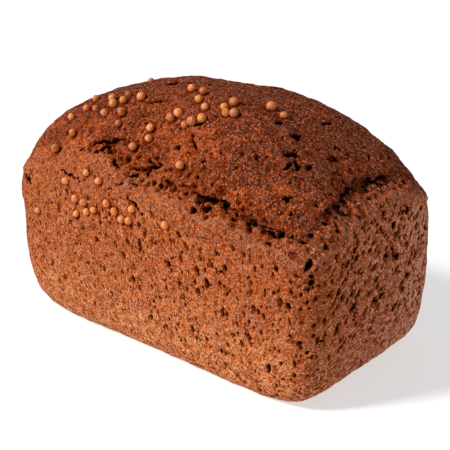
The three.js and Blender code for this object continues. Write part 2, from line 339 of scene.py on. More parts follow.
cracks = [
    (0.85, 1.6, [(-27.6, -33.9, 74.5), (-24, -32.5, 76.4), (-19, -32, 77), (-14, -30.7, 78.3)]),
    (0.7, 1.1, [(-25.4, -35.5, 71.7), (-22, -34.3, 73.6), (-17, -33, 75.4)]),
    (0.8, 1.6, [(-15.2, -36, 70.4), (-12, -36.5, 69.2)]),
    (1.1, 1.8, [(-4.9, -37.4, 66.9), (-1.8, -36.9, 68)]),
    (0.9, 1.8, [(2.2, -34.8, 71.8), (5.9, -34.5, 72)]),
    (0.7, 1.2, [(15.5, -26, 82), (17, -27.5, 80.4), (19.4, -29.3, 78.5)]),
    (0.7, 1.0, [(-4.5, -39.6, 60.2), (-1.3, -39.8, 58.3), (1.6, -39.9, 54.8)]),
    (0.6, 0.8, [(-42, -38.6, 63.7), (-38, -39, 62.9), (-33, -39.2, 61.9), (-28.5, -39.3, 61.8)]),
    (0.6, 0.8, [(-28.4, -39.9, 55.5), (-22.8, -39.9, 55.4)]),
    (0.6, 0.8, [(-14, -39.4, 61.3), (-11.5, -39.4, 61)]),
    (1.0, 2.6, [(56.2, -37.6, 59.9), (58.6, -37.3, 59.2)]),
    (1.0, 2.4, [(60.9, -36.7, 58.9), (62.3, -35.8, 60.1)]),
    (0.5, 1.2, [(61.4, 12, 76.1), (63, 11, 74.8)]),
    (0.5, 1.0, [(37.5, -31.2, 75.2), (39.3, -30, 76.4)]),
    (1.3, 1.8, [(-14, -8, 94.9), (-9, -6, 95.4)]),
    (0.9, 1.1, [(-9, -6, 95.4), (-3, -5, 95.4)]),
    (0.7, 1.0, [(-12.5, -19.6, 88.8), (-8, -17.5, 90), (-2, -17, 89.8)]),
    (0.7, 1.1, [(12, -23.4, 84.4), (18.5, -21.8, 85.6)]),
    (1.1, 1.8, [(-66.5, -38.6, 57.2), (-61, -39.4, 54.6)]),
    (0.7, 1.2, [(-36, 34, 76), (-27, 33, 78), (-20, 34.5, 76)]),
    (0.6, 1.0, [(22, 26, 84), (30, 24, 84.5), (37, 25, 82)]),
    (0.8, 1.2, [(-58, 10, 78), (-61, 3, 77), (-60, -5, 77)]),
]
crackForm = {
    "step": 0.7 * mm,
    "wander": 0.4 * mm,
    "memory": 0.75,                     # how much of its last step aside the next one keeps
    # how dark the painted shade inside a crack is; holes and long holes get all of it
    "dark": 0.8,
    "taper": 0.65,                      # half width left at the ends
    "uneven": (0.7, 1.3),
    "drawSeed": 23,
    "ragged": ((1.9 * mm, 0.9 * mm), (0.8 * mm, 0.3 * mm)),    # size and reach of each push
    "wall": (0.5, 1.15),                # from the open middle to the rim, in half widths
}


def makeDraw(seed):
    # numbers between low and high, the same ones for the same seed
    factor, shift, span = 1664525, 1013904223, 2 ** 32
    state = [seed]

    def draw(low, high):
        state[0] = (state[0] * factor + shift) % span
        return low + (high - low) * (state[0] / span)

    return draw


def drawVector(draw):
    return Vector((draw(-1, 1), draw(-1, 1), draw(-1, 1)))


def leaning(power, east, north):
    middle, eastward, northward = power
    return east * eastward + north * northward + middle


def onSmoothLoaf(ray, size):
    # where a ray from the middle of the rim plane leaves the smooth loaf, above the underside;
    # size holds the tree's own inputs
    form = loafForm
    x, y, z = splitVector(ray)
    along = x / size["halfLength"]
    across = y / size["halfWidth"]
    reach = ((along ** 2 + across ** 2) ** 0.5).atLeast(1e-6)    # never 0
    east = along / reach
    north = across / reach
    planPower = z.ramp(-form["planBlend"], form["planBlend"],
                       form["wallPlanPower"], form["crownPlanPower"])
    plan = (abs(along) ** planPower + abs(across) ** planPower) ** (planPower ** -1)
    isCrown = z.calculate("GREATER_THAN", 0.0)
    rise = abs(z) / isCrown.between(form["footDepth"], size["crownRise"])
    steep = isCrown * (rise / (rise + plan)).ramp(*form["topShare"])
    sidePower = isCrown.between(leaning(form["footPower"], east, north),
                                leaning(form["crownPower"], east, north))
    power = steep.between(sidePower, form["topPower"])
    scale = (plan ** power + rise ** power) ** -(power ** -1)
    x, y, z = splitVector(scaleVector(ray, scale))
    z = z.atLeast(-size["rimHeight"])

    height = z.atLeast(0.0) / size["crownRise"]
    depth = (-z).atLeast(0.0) / size["rimHeight"]
    midLength = (x / size["halfLength"] * (math.pi / 2)).cosine() ** 2
    belly = (depth * math.pi).sine() * east.atLeast(0.0) ** 2
    hollow = (-north).atLeast(0.0) ** 2 * midLength * depth.ramp(*form["hollowDepth"])
    x = x * (1 - depth * form["footTaper"]) + height * form["crownLean"]
    x = x + belly * form["eastBelly"]
    y = y + hollow * form["frontHollow"]
    return joinVector(ray.tree, x, y, z + size["rimHeight"])


def compassAngle(place):
    # degrees from the east, as if the loaf were round in plan
    x, y = splitVector(place)[:2]
    angle = (y / loafForm["halfWidth"]).calculate("ARCTAN2", x / loafForm["halfLength"])
    return angle.calculate("DEGREES")


def alongTear(column, angle):
    # one column of the tear's path, which is in millimetres, at a compass angle
    number = tearColumns[column]
    value = tearPath[0][number]
    for before, after in zip(tearPath, tearPath[1:]):
        value = angle.ramp(before[0], after[0], 0.0, after[number] - before[number]) + value
    return value * mm


def tearAround(place):
    # the heights of a place above the crown's torn edge and above the foot of the band, and
    # how deep and how wide the tear is there
    form = tearForm
    angle = compassAngle(place)
    x, y, z = splitVector(place)
    jag = 0.0
    for size, reach in form["jags"]:
        jag = lumps(place, size) * reach + jag
    size, reach = form["gapJag"]
    shifted = vectorMath(place.tree, "ADD", place, form["gapShift"])
    gap = alongTear("gap", angle) + lumps(shifted, size) * reach
    gap = gap + (form["endGap"] - jag) * abs(x).ramp(*form["calmEnd"])
    for middle, halfWidth, height in flakes:
        gap = gap - (angle - middle).bell(halfWidth) * (height * mm)
    return {
        "aboveTear": z - alongTear("tear", angle) + jag,
        "aboveFoot": z - alongTear("foot", angle) + jag * form["footJag"],
        "depth": alongTear("depth", angle),
        "gap": gap.atLeast(form["leastGap"]),
    }


zoneForm = {
    "crown": (-0.3 * mm, 0.5 * mm),     # height above the crown's torn edge
    "tornDepth": 2.6 * mm,              # a tear less deep than this leaves some of the crust whole
    "toneSpread": (-9 * mm, 4 * mm),    # how far the crown's tone then blends, down and up
    "gape": (0.8 * mm, 2.4 * mm),       # depths at which the tear opens
    "gapFoot": -0.2 * mm,
    "end": (66 * mm, 72 * mm),          # along the loaf: the ends, and the gap on them
    "endGap": (60 * mm, 67 * mm),
    "edge": (1.2 * mm, 2.2 * mm),       # height and breadth of the crown's rough edge
    "edgeCalm": 0.5,                    # how much of it the ends go without
    "patchAlong": (-8 * mm, 28 * mm),   # a rough patch on the crown's front: middle and reach
    "patchUp": (73.5 * mm, 5.5 * mm),
    "patchFront": (-30 * mm, -22 * mm),
    "rimHighlight": 0.7 * mm,                # half the breadth of the painted highlight on the rim's top edge
}


def zones(place, tear):
    # how much of each kind of crust there is at a place
    form = zoneForm
    above = tear["aboveTear"]
    x, y, z = splitVector(place)
    low, high = form["crown"]
    crown = above.ramp(low, high)
    whole = (1 - tear["depth"] / form["tornDepth"]).atLeast(0.0)
    down, up = form["toneSpread"]
    wall = tear["aboveFoot"].fall(-tearForm["bandEdge"], tearForm["bandEdge"])
    gape = tear["depth"].ramp(*form["gape"])
    intoGap = above + tear["gap"]
    endGap = abs(x).ramp(*form["endGap"])
    trough = intoGap.ramp(form["gapFoot"], endGap.between(*tearForm["slope"]))
    trough = trough * (1 - crown) * gape
    edgeHeight, edgeReach = form["edge"]
    edge = (above - edgeHeight).bell(edgeReach) * crown * gape
    patchX, patchLength = form["patchAlong"]
    patchZ, patchHeight = form["patchUp"]
    patch = (x - patchX).bell(patchLength) * (z - patchZ).bell(patchHeight)
    return {
        "crown": crown,
        "crownTone": above.ramp(whole * down + low, whole * up + high),
        "wall": wall,
        "band": (1 - crown) * (1 - wall) * (1 - trough),
        "trough": trough,
        "intoGap": (intoGap / tear["gap"]).atLeast(0.0).atMost(1.0),
        "edge": edge * (1 - endGap * form["edgeCalm"]),
        "patch": patch * y.fall(*form["patchFront"]) * crown,
        "rimHighlight": intoGap.bell(form["rimHighlight"]) * (1 - crown) * gape,
        "end": abs(x).ramp(*form["end"]),
        "endGap": endGap,
    }


# the crust's own texture, the same in its shape and in its finish:
# size of a cell, radius of its hole in cells, share of the cells with a hole, depth
poreSettings = {
    "wallLarge": (3.4 * mm, 0.34, 0.50, 1.4 * mm),
    "wallSmall": (1.9 * mm, 0.36, 0.80, 0.8 * mm),
    "endLarge": (3.2 * mm, 0.40, 0.75, 1.6 * mm),
    "endSmall": (1.8 * mm, 0.40, 0.90, 0.9 * mm),
    "crownPit": (5.5 * mm, 0.22, 0.50, 1.3 * mm),
    "crownSmall": (1.8 * mm, 0.36, 0.50, 0.5 * mm),
    "tornPit": (2.8 * mm, 0.56, 0.65, 1.6 * mm),
}
poreForm = {
    "ragged": ((2.6 * mm, 0.6 * mm), (1.1 * mm, 0.3 * mm)),
    "soft": 0.45,                       # share of a hole's radius that is fully open
    "onBand": 0.5,                      # how open the small ones are on the smooth band
    # the holes grow wider along the loaf and up it, and more of the cells have one
    "widerAlong": (-60 * mm, 60 * mm, 0.92, 1.15),
    "widerUp": (5 * mm, 35 * mm, 0.75, 1.0),
    "moreAlong": (-60 * mm, 30 * mm, 0.92, 1.1),
    "uprightLean": 0.12,
    "uprightSquash": 0.62,              # the smaller, the taller the pores of the long sides
    "slantSquash": (0.78, 0.85),        # across and up, on the ends
    "slantLean": 0.2,
}
# size of the lumps and their height
grainSettings = {
    "wallSwell": (7 * mm, 0.6 * mm),
    "wallGrain": (1.5 * mm, 0.25 * mm),
    "crownRoll": (13 * mm, 1.2 * mm),
    "crownLump": (4.2 * mm, 0.65 * mm),
    "crownGrain": (1.6 * mm, 0.2 * mm),
    "tornCrumb": (2.4 * mm, 2.0 * mm),
}
grainDetail = 3.0
# share of the torn kinds along the crown's edge and in the patch, and what the gap of the ends
# goes without
tornShares = {
    "pit": (0.8, 0.6, 0.6),
    "crumb": (0.5, 0.4, 0.6),
    "tone": (0.5, 0.4, 0.0),
}
inward = 0.45 * mm        # keeps the tops of the grain inside the loaf's own size


def stretched(place):
    # places that make pores stand upright on the long sides, and slant on the ends
    form = poreForm
    x, y, z = splitVector(place)
    upright = joinVector(place.tree, x + z * form["uprightLean"], y, z * form["uprightSquash"])
    across, up = form["slantSquash"]
    lean = form["slantLean"]
    slanted = joinVector(place.tree, x, y * across - z * lean, z * up - y * lean)
    return upright, slanted


def tornShare(zone, kind):
    atEdge, inPatch, calm = tornShares[kind]
    gap = zone["trough"] * (1 - zone["endGap"] * calm)
    return gap + zone["edge"] * atEdge + zone["patch"] * inPatch


def openPores(place, zone):
    # how open each kind of pore is at a place, 0 to 1
    form = poreForm
    ragged = wobble(place, *form["ragged"])
    upright, slanted = stretched(ragged)
    front = zone["wall"] + zone["band"] * form["onBand"]
    x, y, z = splitVector(place)
    wider = x.ramp(*form["widerAlong"]) * z.ramp(*form["widerUp"])
    more = x.ramp(*form["moreAlong"])
    kinds = {
        "wallLarge": (upright, zone["wall"] * (1 - zone["end"])),
        "wallSmall": (upright, front * (1 - zone["end"])),
        "endLarge": (slanted, zone["wall"] * zone["end"]),
        "endSmall": (slanted, front * zone["end"]),
        "crownPit": (ragged, zone["crown"]),
        "crownSmall": (ragged, zone["crown"]),
        "tornPit": (ragged, tornShare(zone, "pit").atMost(1.0)),
    }
    found = {}
    for name, (where, zoneShare) in kinds.items():
        size, radius, share = poreSettings[name][:3]
        found[name] = pores(where, size, wider * radius, more * share, form["soft"]) * zoneShare
    return found


def fineRelief(place, zone, opened):
    grain = {name: lumps(place, size, grainDetail) * height
             for name, (size, height) in grainSettings.items()}
    crust = (grain["crownRoll"] + grain["crownLump"] + grain["crownGrain"]) * zone["crown"]
    crust = crust + (grain["wallSwell"] + grain["wallGrain"]) * (1 - zone["crown"])
    crust = crust + grain["tornCrumb"] * tornShare(zone, "crumb")
    for name, share in opened.items():
        crust = crust - share * poreSettings[name][3]
    return crust - inward


def lipShare(tear):
    full = (tear["depth"] / tearForm["fullLipDepth"]).atMost(1.0)
    return tear["aboveTear"].bell(tearForm["lipReach"]) * full


def largeRelief(place, zone, tear):
    # swells, tear, lip and band, as in the part's own source but with a torn floor to the gap
    form = tearForm
    draw = makeDraw(loafForm["swellSeed"])
    relief = 0.0
    for swell in range(loafForm["swellCount"]):
        wave = drawVector(draw).normalized()
        wave = wave * (2 * math.pi / draw(*loafForm["swellLengths"]))
        phase = draw(0, 2 * math.pi)
        along = vectorMath(place.tree, "DOT_PRODUCT", place, tuple(wave), output=1)
        relief = (along + phase).sine() * loafForm["swellHeight"] + relief
    undercut = zone["intoGap"] ** 2 * form["undercut"] + (1 - form["undercut"])
    fill = zone["endGap"] * form["endFill"]
    relief = relief - zone["trough"] * tear["depth"] * undercut * (1 - fill)
    relief = relief + zone["crown"] * lipShare(tear) * form["lipBulge"]
    torn = tear["aboveTear"].ramp(-form["tornReach"], 0) * tear["depth"] * form["tornShare"]
    band = tear["aboveFoot"].ramp(-form["bandEdge"], form["bandEdge"]) * form["bandBulge"]
    relief = relief + (1 - zone["crown"]) * (band - torn)
    z = splitVector(place)[2]
    return relief * z.ramp(0, form["reliefFade"])


crustSizes = ("halfLength", "halfWidth", "rimHeight", "crownRise", "latticeStep")


def newTree(name, labels):
    # a geometry tree with a number input for each label; also its geometry and those inputs
    tree = bpy.data.node_groups.new(name, "GeometryNodeTree")
    sockets = [("Geometry", "INPUT", "NodeSocketGeometry")]
    sockets += [(label, "INPUT", "NodeSocketFloat") for label in labels]
    sockets += [("Geometry", "OUTPUT", "NodeSocketGeometry")]
    for label, side, kind in sockets:
        tree.interface.new_socket(label, in_out=side, socket_type=kind)
    entry = tree.nodes.new("NodeGroupInput")
    inputs = {label: Field(tree, entry.outputs[label]) for label in labels}
    return tree, Field(tree, entry.outputs["Geometry"]), inputs


def endTree(tree, geometry, material):
    whole = addNode(tree, "GeometryNodeRealizeInstances", {0: geometry})
    node = tree.nodes.new("GeometryNodeSetMaterial")
    plug(tree, whole, node.inputs["Geometry"])
    node.inputs["Material"].default_value = material
    output = tree.nodes.new("NodeGroupOutput")
    tree.links.new(node.outputs[0], output.inputs[0])


def addPiece(name, mesh):
    piece = bpy.data.objects.new(name, mesh)
    bpy.context.scene.collection.objects.link(piece)
    return piece


def bakeMesh(piece, name):
    # the evaluated object as a plain mesh object at the origin
    graph = bpy.context.evaluated_depsgraph_get()
    mesh = bpy.data.meshes.new_from_object(piece.evaluated_get(graph),
                                           preserve_all_data_layers=True, depsgraph=graph)
    result = addPiece(name, mesh)
    bpy.data.objects.remove(piece)
    return result


def growMesh(name, points, tree, values, bakedName):
    # what a geometry tree makes of a cloud of points, as a plain mesh object
    piece = addPiece(name, points)
    modifier = piece.modifiers.new(name, "NODES")
    modifier.node_group = tree
    for item in tree.interface.items_tree:
        if item.name in values:
            modifier[item.identifier] = values[item.name]
    return bakeMesh(piece, bakedName)


def pointCloud(name, points, columns):
    # loose points with a value of their own in each column
    mesh = bpy.data.meshes.new(name)
    mesh.from_pydata([point["place"] for point in points], [], [])
    for column, kind in columns.items():
        field = "vector" if kind == "FLOAT_VECTOR" else "value"
        values = mesh.attributes.new(column, kind, "POINT")
        for number, point in enumerate(points):
            setattr(values.data[number], field, point[column])
    return mesh


def shadeSmooth(piece):
    for polygon in piece.data.polygons:
        polygon.use_smooth = True


def newScar(place, halfWidth, depth, dark=1, seat=0):
    return {"place": place, "halfWidth": halfWidth, "depth": depth, "dark": dark, "seat": seat}


def makeScars(seats):
    # the holes, the cracks and the seats of the seeds as a cloud of points, each with its half
    # width and depth, how dark its painted shade inside is, and 1 for a seat, which gets a painted
    # contact shadow
    form = crackForm
    draw = makeDraw(form["drawSeed"])
    scars = [newScar(Vector(place) * mm, width * mm, depth * mm) for width, depth, place in holes]
    scars += [newScar(*seat, dark=0, seat=1) for seat in seats]
    lines = [(1, *gash) for gash in gashes] + [(form["dark"], *crack) for crack in cracks]
    for dark, width, depth, path in lines:
        corners = [Vector(corner) * mm for corner in path]
        length = sum((b - a).length for a, b in zip(corners, corners[1:]))
        gone = 0
        aside = Vector()
        for start, finish in zip(corners, corners[1:]):
            span = (finish - start).length
            for step in range(math.ceil(span / form["step"])):
                share = step * form["step"] / span
                whole = (gone + share * span) / length
                fat = form["taper"] + (1 - form["taper"]) * math.sin(math.pi * whole)
                aside = aside * form["memory"] + drawVector(draw) * form["wander"]
                fat = fat * draw(*form["uneven"])
                scars.append(newScar(start.lerp(finish, share) + aside, width * mm * fat,
                                     depth * mm * fat, dark))
            gone += span
    return pointCloud("scars", scars, dict.fromkeys(("halfWidth", "depth", "dark", "seat"),
                                                    "FLOAT"))


def scarsAt(place, scars, loaf):
    # how open the nearest hole, crack or seat is, how deep it is and how dark its painted shade is,
    # and if it is a seat
    tree = place.tree
    onLoaf = addNode(tree, "GeometryNodeProximity", {0: loaf, "Sample Position": place})
    scars = addNode(tree, "GeometryNodeSetPosition", {0: scars, "Position": onLoaf})
    ragged = wobble(place, *crackForm["ragged"])
    nearest = addNode(tree, "GeometryNodeSampleNearest", {0: scars, 1: ragged}, domain="POINT")

    def sample(value, kind):
        return addNode(tree, "GeometryNodeSampleIndex", {0: scars, "Value": value, 2: nearest},
                       domain="POINT", data_type=kind)

    def column(name):
        value = addNode(tree, "GeometryNodeInputNamedAttribute", {0: name}, data_type="FLOAT")
        return sample(value, "FLOAT")

    away = vectorMath(tree, "DISTANCE", ragged, sample(place, "FLOAT_VECTOR"), output=1)
    opening = (away / column("halfWidth")).fall(*crackForm["wall"])
    return opening, column("depth"), column("dark"), column("seat")


def makeCrustTree(material):
    tree, scars, size = newTree("crustTree", crustSizes)

    # a dense block round the middle of the rim plane
    spans = (size["halfLength"] * 2, size["halfWidth"] * 2,
             size["rimHeight"] + loafForm["blockTop"])
    block = tree.nodes.new("GeometryNodeMeshCube")
    plug(tree, joinVector(tree, *spans), block.inputs["Size"])
    for axis, span in zip("XYZ", spans):
        plug(tree, span / size["latticeStep"], block.inputs["Vertices " + axis])
    place = addNode(tree, "GeometryNodeInputPosition", {})
    lift = joinVector(tree, 0.0, 0.0, (loafForm["blockTop"] - size["rimHeight"]) / 2)
    ray = vectorMath(tree, "ADD", place, lift)
    smooth = addNode(tree, "GeometryNodeSetPosition",
                     {0: Field(tree, block.outputs["Mesh"]),
                      "Position": onSmoothLoaf(ray, size)})

    # what the finish has to know about each place of the smooth loaf
    tear = tearAround(place)
    zone = zones(place, tear)
    scar, scarDepth, scarDark, seat = scarsAt(place, scars, smooth)
    marked = smooth
    for name, value in (("smoothPlace", place),
                        ("tearPlace", joinVector(tree, tear["aboveTear"], tear["aboveFoot"],
                                                 tear["gap"])),
                        ("tearDepth", joinVector(tree, tear["depth"], scar * scarDark,
                                                 scar * seat))):
        marked = addNode(tree, "GeometryNodeStoreNamedAttribute",
                         {"Geometry": marked, "Name": name, "Value": value},
                         data_type="FLOAT_VECTOR", domain="POINT")

    # the relief, along the smooth loaf's own normal
    relief = largeRelief(place, zone, tear) + fineRelief(place, zone, openPores(place, zone))
    normal = addNode(tree, "GeometryNodeInputNormal", {})
    droop = zone["crown"] * lipShare(tear) * tearForm["lipDroop"]
    offset = vectorMath(tree, "SUBTRACT", scaleVector(normal, relief - scar * scarDepth),
                        joinVector(tree, 0.0, 0.0, droop))
    rough = addNode(tree, "GeometryNodeSetPosition", {0: marked, "Offset": offset})

    # nothing goes below the underside
    x, y, z = splitVector(place)
    flat = addNode(tree, "GeometryNodeSetPosition",
                   {0: rough, "Position": joinVector(tree, x, y, z.atLeast(0.0))})
    endTree(tree, flat, material)
    return tree


def makeCrust(material, seats):
    dense = growMesh("crust", makeScars(seats), makeCrustTree(material),
                     {name: loafForm[name] for name in crustSizes}, "denseCrust")
    count = 2 * len(dense.data.polygons)
    thin = dense.modifiers.new("thin", "DECIMATE")
    thin.ratio = loafForm["triangles"] / count
    thin.use_collapse_triangulate = True
    crust = bakeMesh(dense, "crust")
    shadeSmooth(crust)
    print("crust: from", count, "to", len(crust.data.polygons), "triangles")
    return crust


def newMaterial(name):
    material = bpy.data.materials.new(name)
    material.use_nodes = True
    shader = material.node_tree.nodes["Principled BSDF"]
    return material, material.node_tree, shader


def attributeOf(tree, name, output=1):
    return addNode(tree, "ShaderNodeAttribute", {}, output, attribute_name=name)


def mixColours(share, first, second):
    tree = share.tree
    node = tree.nodes.new("ShaderNodeMix")
    node.data_type = "RGBA"
    plug(tree, share, node.inputs["Factor"])
    for value, place in ((first, 6), (second, 7)):    # the node's inputs for two colours
        plug(tree, value if isinstance(value, Field) else (*value, 1.0), node.inputs[place])
    return Field(tree, node.outputs[2])


def plugBump(tree, height, shader):
    bump = addNode(tree, "ShaderNodeBump", {"Height": height, "Strength": 1.0, "Distance": 1.0})
    plug(tree, bump, shader.inputs["Normal"])


crustColours = {
    "skinDark": (0.45, 0.115, 0.038),
    "skin": (0.76, 0.240, 0.084),
    "skinPale": (0.97, 0.420, 0.172),
    "mauve": (0.50, 0.170, 0.105),
    "rust": (0.56, 0.100, 0.012),
    "bandTone": (0.35, 0.102, 0.052),
    # the ends' mauve skin: partly the crust's own tone, partly a painted grey sheen
    "endSkin": (0.84, 0.315, 0.190),
    "endPale": (1.0, 0.490, 0.335),
    "endHollow": (0.38, 0.072, 0.016),
    "endRust": (0.48, 0.078, 0.012),
    # painted shade of the rounded corners
    "corner": (0.28, 0.055, 0.012),
    "crownDark": (0.060, 0.007, 0.001),
    "crownRust": (0.46, 0.068, 0.007),
    "crownSkin": (0.58, 0.142, 0.040),
    "crownBack": (0.085, 0.023, 0.014),
    "crownLight": (0.56, 0.185, 0.085),
    "crumb": (0.34, 0.062, 0.012),
    "endCrumb": (0.30, 0.078, 0.036),
    # painted highlight along the rim's top edge
    "edgeHighlight": (0.55, 0.22, 0.13),
    # painted grey sheen, for the light's reflection on the crests and grains
    "paintedSheen": (0.46, 0.195, 0.135),
    "glowing": (0.84, 0.175, 0.024),
    # light specks: bran flecks and painted glints
    "speck": (0.90, 0.54, 0.40),
    "poreRim": (0.27, 0.036, 0.004),
    # painted shade inside pores, cracks and hollows, black in the deepest
    "poreDark": (0.060, 0.006, 0.001),
    "black": (0.008, 0.001, 0.0003),
}
# size of the lumps, detail and roughness
crustNoise = {
    "mottle": (5 * mm, 4.0, 0.65),
    "crest": (1.8 * mm, 3.0, 0.8),
    "crownCrest": (0.8 * mm, 2.0, 0.75),
    "stain": (7 * mm, 5.0, 0.7),
    "broad": (20 * mm, 2.0, 0.5),
    "speckle": (0.65 * mm, 1.0, 0.6),
    "crumb": (grainSettings["tornCrumb"][0], grainDetail, 0.5),
    "pocket": (3.6 * mm, 3.0, 0.65),
    "glaze": (0.9 * mm, 1.0, 0.6),
}


def layOver(under, share, name):
    # a share of one of the crust's colours over another colour
    return mixColours(share, under, crustColours[name])


# two numbers are the start and the end of a smooth step, and two more what it gives there
wallFinish = {
    "rightShade": (15 * mm, 75 * mm, 0.0, 0.56),     # the skin darkens towards the right end
    "leftShade": (-60 * mm, -20 * mm, 0.18, 0.12),   # and a little everywhere
    "shadeUp": (10 * mm, 45 * mm),                   # but not near the foot
    "skin": (-0.35, 0.3),
    "footBounceLight": (0, 42 * mm, 0.85, 0.0),             # which is paler: painted bounce light from the floor
    "paleMottle": 0.4,
    "mauve": (0.0, 0.3),
    "mauveShare": 0.5,
    "bandTone": 0.7,
    "endPale": (-25 * mm, 22 * mm),                  # the ends are paler towards the back
    # the ends' foot is paler as well, with painted bounce light from the floor
    "endFootBounceLight": (0, 20 * mm, 0.4, 0.0),
    "endDull": (-36 * mm, -4 * mm, 0.25, 1.0),       # how much of the ends' mauve skin there is: partly the crust's own tone, partly a painted grey sheen
    "endFootDull": (0, 25 * mm, 0.3, 0.0),
    "endStain": 0.6,
    "endDullMost": 0.95,
    "endRim": (48 * mm, 62 * mm, 1.0, 0.4),
    # the ends' hollows are a darker rust: painted shade
    "endHollow": 0.7,
    "endCrestLevel": (0, 30 * mm, 0.08, -0.04),
    "crestSkin": (-0.2, 0.14),                       # height of the crests at which skin shows
    # painted shade on the rounded corners between the long sides and the ends
    "cornerAlong": (60 * mm, 72 * mm),
    "cornerAcross": (26 * mm, 38 * mm),
    "cornerUp": (8 * mm, 40 * mm),
    "corner": 0.55,
    "bandRight": (10 * mm, 60 * mm),
    "bandCorner": 0.32,
}


def wallColour(place, zone, noise):
    # the skin shows on the crests, and the hollows between them are rust brown: partly the crust's
    # own colour, partly painted shade
    finish = wallFinish
    x, y, z = splitVector(place)
    shade = x.ramp(*finish["rightShade"]) + x.ramp(*finish["leftShade"])
    shade = shade * z.ramp(*finish["shadeUp"])
    skin = layOver(crustColours["skinDark"], (noise["mottle"] - shade).ramp(*finish["skin"]),
                   "skin")
    # paler towards the foot: painted bounce light from the floor, broken up by the mottle
    pale = z.ramp(*finish["footBounceLight"]) + noise["mottle"] * finish["paleMottle"]
    skin = layOver(skin, pale.atLeast(0.0), "skinPale")
    skin = layOver(skin, noise["stain"].ramp(*finish["mauve"]) * finish["mauveShare"], "mauve")
    skin = layOver(skin, zone["band"] * finish["bandTone"], "bandTone")

    # the ends are paler towards the back, and near the foot with painted bounce light
    endPale = y.ramp(*finish["endPale"]) + z.ramp(*finish["endFootBounceLight"])
    endSkin = layOver(crustColours["endSkin"], endPale, "endPale")
    dull = y.ramp(*finish["endDull"]) + z.ramp(*finish["endFootDull"])
    dull = dull + noise["stain"] * finish["endStain"]
    dull = dull.atLeast(0.0).atMost(finish["endDullMost"]) * z.ramp(*finish["endRim"])
    skin = mixColours(zone["end"] * dull, skin, endSkin)
    rust = layOver(crustColours["rust"], zone["end"] * finish["endHollow"], "endHollow")
    crestLevel = noise["crest"] - zone["end"] * y.ramp(*finish["endCrestLevel"])
    wall = mixColours(crestLevel.ramp(*finish["crestSkin"]), rust, skin)

    # painted shade on the rounded corners, and the band too grows darker towards the right end
    corner = abs(x).ramp(*finish["cornerAlong"]) * abs(y).ramp(*finish["cornerAcross"])
    corner = corner * z.ramp(*finish["cornerUp"]) * finish["corner"]
    corner = corner + zone["band"] * x.ramp(*finish["bandRight"]) * finish["bandCorner"]
    return layOver(wall, corner, "corner")


crownFinish = {
    "bright": {"crest": 0.55, "crownCrest": 0.75, "mottle": 1.1, "broad": 0.6, "stain": -0.3},
    "rightDark": (0, 70 * mm, 0.0, 0.30),            # darker towards the right end
    "backDark": (-42 * mm, -20 * mm, 0.03, -0.14),   # and away from the front
    "leftDark": (-60 * mm, 0, 0.08, 0.0),            # and a little at the left end
    "rust": (-0.4, 0.2),
    "skin": (0.0, 0.45),
    "sheenStain": (0.12, 0.52),
    "sheenCrest": (-0.2, 0.3),
    "paintedSheen": 0.42,
    "back": (-30 * mm, -4 * mm, 0.0, 0.78),
    "backMottle": {"crest": 0.6, "broad": 0.3},
}


def crownColour(place, noise):
    finish = crownFinish
    x, y, z = splitVector(place)
    right = x.ramp(*finish["rightDark"])
    bright = weighed(noise, finish["bright"]) - right
    bright = bright + y.ramp(*finish["backDark"]) - x.ramp(*finish["leftDark"])
    crown = layOver(crustColours["crownDark"], bright.ramp(*finish["rust"]), "crownRust")
    crown = layOver(crown, bright.ramp(*finish["skin"]), "crownSkin")
    # a painted grey sheen on the crown's crests, more of it towards the right end
    paintedSheen = (noise["stain"] + right).ramp(*finish["sheenStain"])
    paintedSheen = paintedSheen * noise["crownCrest"].ramp(*finish["sheenCrest"])
    crown = layOver(crown, paintedSheen * finish["paintedSheen"], "paintedSheen")
    back = y.ramp(*finish["back"]) * (weighed(noise, finish["backMottle"]) + 1)
    return layOver(crown, back, "crownBack")


grainFinish = {
    "size": 0.85 * mm,
    "ragged": (0.8 * mm, 0.25 * mm),
    "middle": (0.25, 0.6),
    # which grains have the colour, and its share on the walls and on the crown
    "paintedSheen": ((0.55, 0.75), (0.40, 0.55)),
    "glowing": ((0.6, 0.8), (0.45, 0.50)),
    "crownDark": ((0.3, 0.15), (0.15, 0.75)),
    # the same for the finer spots, and how much more of them there is on the ends
    "darkSpots": ((0.05, 0.32), (0.55, 0.95), 0.15),
    "lightSpots": ((-0.05, -0.32), (0.42, 0.48), 0.08),
    "branGlint": (1.2 * mm, 0.27, 0.25),                  # cell, radius and share of the light specks: bran flecks and painted glints
    "branGlintRagged": (0.8 * mm, 0.3 * mm),
    "branGlintShare": 0.6,
}


def grainColours(place, zone, noise, whole):
    # single grains: ones with a painted grey sheen, glowing ones and dark ones, then light specks,
    # bran flecks and painted glints
    finish = grainFinish
    crown = zone["crownTone"]
    grain, luck, otherLuck = granules(wobble(place, finish["ragged"]), finish["size"])
    middle = grain.ramp(*finish["middle"])
    for chance, name in ((luck, "paintedSheen"), (otherLuck, "glowing"), (otherLuck, "crownDark")):
        which, shares = finish[name]
        share = crown.between(*shares) * middle
        whole = layOver(whole, chance.ramp(*which) * share, name)
    light = mixColours(crown, crustColours["skinPale"], crustColours["crownLight"])
    for name, colour in (("darkSpots", crustColours["poreRim"]), ("lightSpots", light)):
        which, shares, more = finish[name]
        share = crown.between(*shares) + zone["end"] * more
        whole = mixColours(noise["speckle"].ramp(*which) * share, whole, colour)
    specks = pores(wobble(place, finish["branGlintRagged"]), *finish["branGlint"])
    return grain, layOver(whole, specks * finish["branGlintShare"], "speck")


